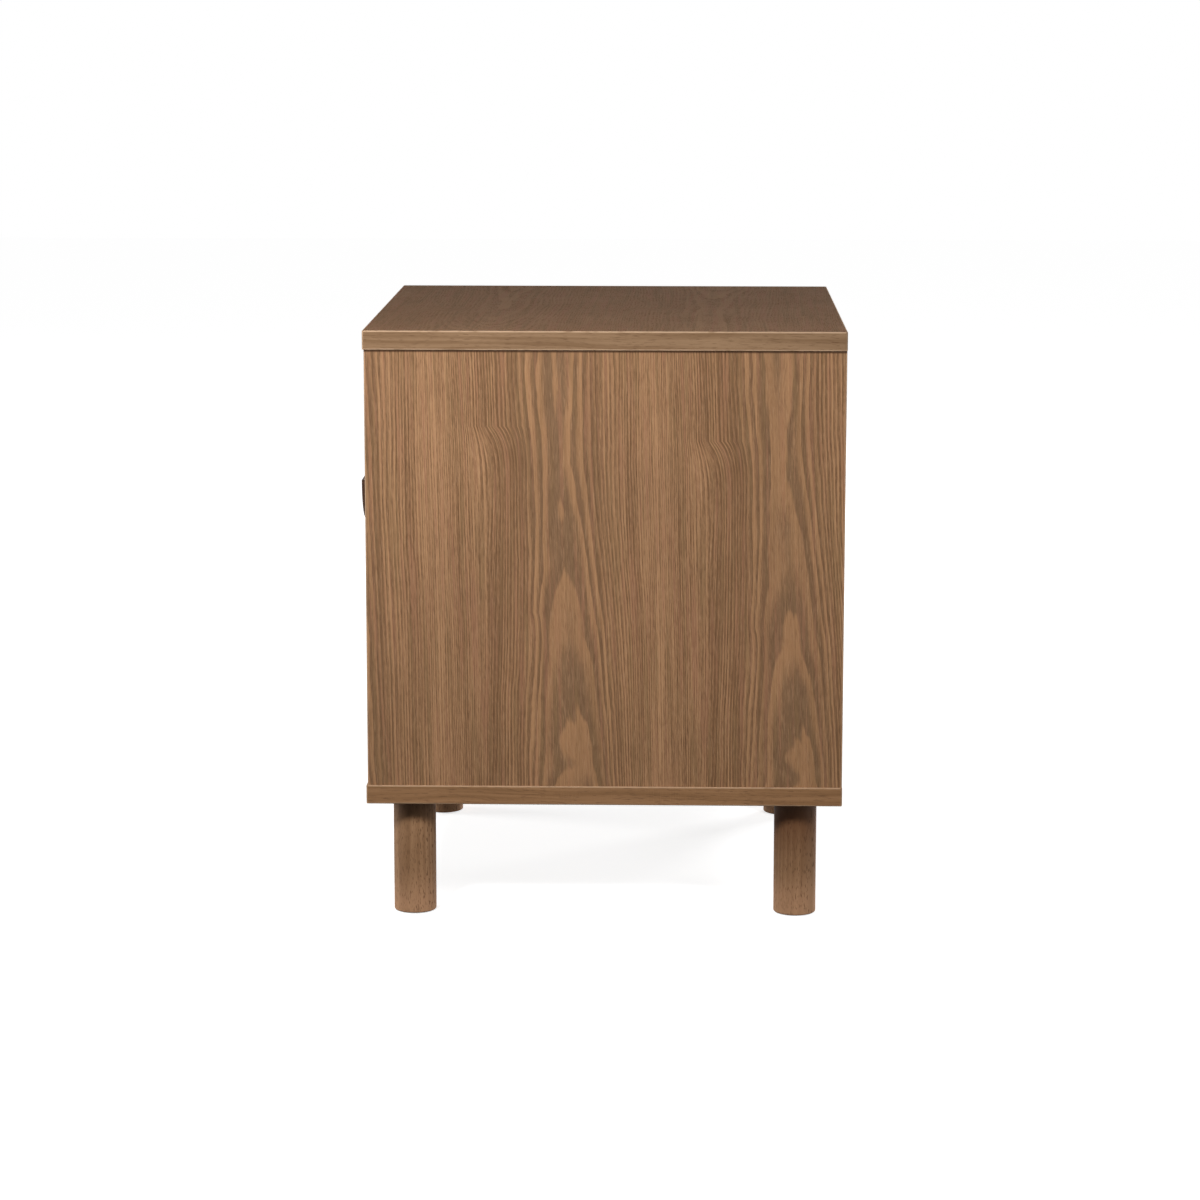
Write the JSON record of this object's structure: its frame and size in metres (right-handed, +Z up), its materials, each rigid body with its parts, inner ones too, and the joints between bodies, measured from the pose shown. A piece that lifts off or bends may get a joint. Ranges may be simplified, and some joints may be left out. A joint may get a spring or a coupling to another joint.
{
  "type": "nightstand",
  "caption": "Bedside cabinet on round legs: open niche over a deep inset drawer with a half-moon pull on full-extension ball-bearing runners.",
  "frame": {"origin": "on the floor, in the middle of the object's footprint, which counts the pull in front", "axes": "+Z up, -Y towards the front, where the drawer opens, +X to the right as seen from the front"},
  "size_m": [0.45, 0.418, 0.5],
  "materials": {
    "walnut_veneer": "stained ash veneer, satin lacquer",
    "leg_wood": "turned hardwood, stained, satin lacquer",
    "pull_wood": "dark stained hardwood, satin lacquer",
    "box_board": "light wood board, matt",
    "dowel_wood": "beech, bare",
    "zinc_steel": "zinc plated",
    "ball_steel": "polished",
    "cage_metal": "thin rolled strip",
    "felt": "pressed felt",
    "brown_plastic": "matt moulded"
  },
  "bodies": {
    "carcass": {"top_panel": "walnut_veneer", "bottom_panel": "walnut_veneer", "side_panel_left": "walnut_veneer", "side_panel_right": "walnut_veneer", "niche_shelf": "walnut_veneer", "back_panel": "walnut_veneer", "leg_front_left": "leg_wood", "leg_front_right": "leg_wood", "leg_back_left": "leg_wood", "leg_back_right": "leg_wood", "foot_pads": "felt", "leg_hanger_bolts": "zinc_steel", "leg_tee_nuts": "zinc_steel", "carcass_dowels": "dowel_wood", "cam_locks": "zinc_steel", "cam_bolts": "zinc_steel", "cam_caps": "brown_plastic", "runner_cabinet_left": "zinc_steel", "runner_cabinet_right": "zinc_steel", "runner_cabinet_screws": "zinc_steel"},
    "drawer": {"drawer_front": "walnut_veneer", "drawer_box_front": "box_board", "drawer_side_left": "box_board", "drawer_side_right": "box_board", "drawer_back": "box_board", "drawer_bottom": "box_board", "drawer_dowels": "dowel_wood", "drawer_front_screws": "zinc_steel", "drawer_pull": "pull_wood", "pull_screws": "zinc_steel", "pull_inserts": "cage_metal", "runner_drawer_left": "zinc_steel", "runner_drawer_right": "zinc_steel", "runner_drawer_screws": "zinc_steel"},
    "middle_left": {"runner_middle_left": "zinc_steel"},
    "middle_right": {"runner_middle_right": "zinc_steel"},
    "outer_cage_left": {"ball_cage_outer_left": "cage_metal", "balls_outer_left": "ball_steel"},
    "outer_cage_right": {"ball_cage_outer_right": "cage_metal", "balls_outer_right": "ball_steel"},
    "inner_cage_left": {"ball_cage_inner_left": "cage_metal", "balls_inner_left": "ball_steel"},
    "inner_cage_right": {"ball_cage_inner_right": "cage_metal", "balls_inner_right": "ball_steel"}
  },
  "joints": [
    {"name": "drawer_slide", "type": "slide", "parent": "carcass", "child": "drawer", "axis": [0, -1, 0], "range_m": [0, 0.34]},
    {"name": "middle_slide_left", "type": "slide", "parent": "carcass", "child": "middle_left", "axis": [0, -1, 0], "range_m": [0, 0.17]},
    {"name": "middle_slide_right", "type": "slide", "parent": "carcass", "child": "middle_right", "axis": [0, -1, 0], "range_m": [0, 0.17]},
    {"name": "outer_cage_slide_left", "type": "slide", "parent": "carcass", "child": "outer_cage_left", "axis": [0, -1, 0], "range_m": [0, 0.085]},
    {"name": "outer_cage_slide_right", "type": "slide", "parent": "carcass", "child": "outer_cage_right", "axis": [0, -1, 0], "range_m": [0, 0.085]},
    {"name": "inner_cage_slide_left", "type": "slide", "parent": "carcass", "child": "inner_cage_left", "axis": [0, -1, 0], "range_m": [0, 0.255]},
    {"name": "inner_cage_slide_right", "type": "slide", "parent": "carcass", "child": "inner_cage_right", "axis": [0, -1, 0], "range_m": [0, 0.255]}
  ],
  "couplings": [
    {"joint": "middle_slide_left", "follows": "drawer_slide", "ratio": 0.5},
    {"joint": "middle_slide_right", "follows": "drawer_slide", "ratio": 0.5},
    {"joint": "outer_cage_slide_left", "follows": "drawer_slide", "ratio": 0.25},
    {"joint": "outer_cage_slide_right", "follows": "drawer_slide", "ratio": 0.25},
    {"joint": "inner_cage_slide_left", "follows": "drawer_slide", "ratio": 0.75},
    {"joint": "inner_cage_slide_right", "follows": "drawer_slide", "ratio": 0.75}
  ]
}
